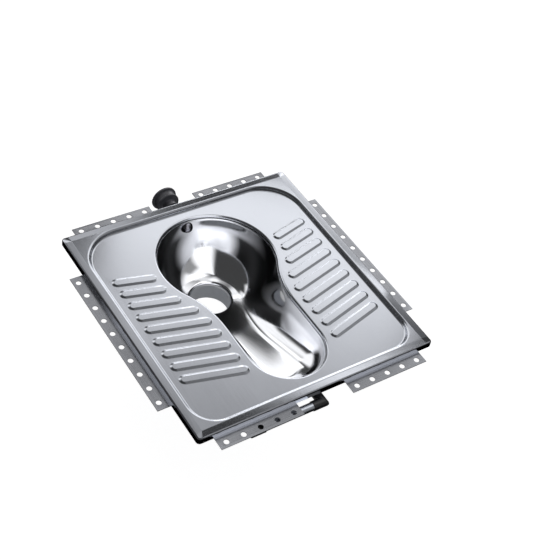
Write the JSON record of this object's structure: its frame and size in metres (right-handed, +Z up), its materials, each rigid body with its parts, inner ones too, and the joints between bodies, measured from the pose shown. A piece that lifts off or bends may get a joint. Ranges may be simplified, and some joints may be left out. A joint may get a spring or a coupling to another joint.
{
  "type": "squat toilet",
  "caption": "Steel squat pan set flush in a floor, with ribbed foot tray, keyhole bowl, straight outlet, flush tubes and anchor flanges.",
  "frame": {"origin": "centre of the deck in plan, on the underside of the anchor flanges", "axes": "+Z up, +Y towards the inlet at the rear of the pan, +X to the right of someone who faces the inlet"},
  "size_m": [0.65, 0.7013, 0.197],
  "materials": {
    "deck_steel": "satin stainless steel sheet",
    "bowl_steel": "polished stainless steel",
    "outlet_steel": "dull stainless steel",
    "flange_steel": "satin stainless steel strip",
    "tube_steel": "satin stainless steel tube",
    "hood_steel": "polished stainless steel",
    "fitting_plastic": "black moulded plastic",
    "cuff_rubber": "black rubber",
    "seal_rubber": "black rubber"
  },
  "bodies": {
    "root": {"deck": "deck_steel", "bowl": "bowl_steel", "outlet_spigot": "outlet_steel", "outlet_seal": "seal_rubber", "left_flange": "flange_steel", "right_flange": "flange_steel", "front_left_flange": "flange_steel", "front_right_flange": "flange_steel", "rear_left_flange": "flange_steel", "rear_right_flange": "flange_steel", "rear_nozzle": "tube_steel", "rear_hood": "hood_steel", "rear_nut": "fitting_plastic", "front_nozzle": "tube_steel", "front_hood": "hood_steel", "front_nut": "fitting_plastic", "inlet_tee": "fitting_plastic", "inlet_cuff": "cuff_rubber", "branch_nut": "fitting_plastic", "rear_cross_tube": "tube_steel", "rear_elbow": "fitting_plastic", "side_tube": "tube_steel", "corner_elbow": "fitting_plastic", "front_cross_tube": "tube_steel", "front_elbow": "fitting_plastic", "front_feed_tube": "tube_steel"}
  },
  "joints": []
}
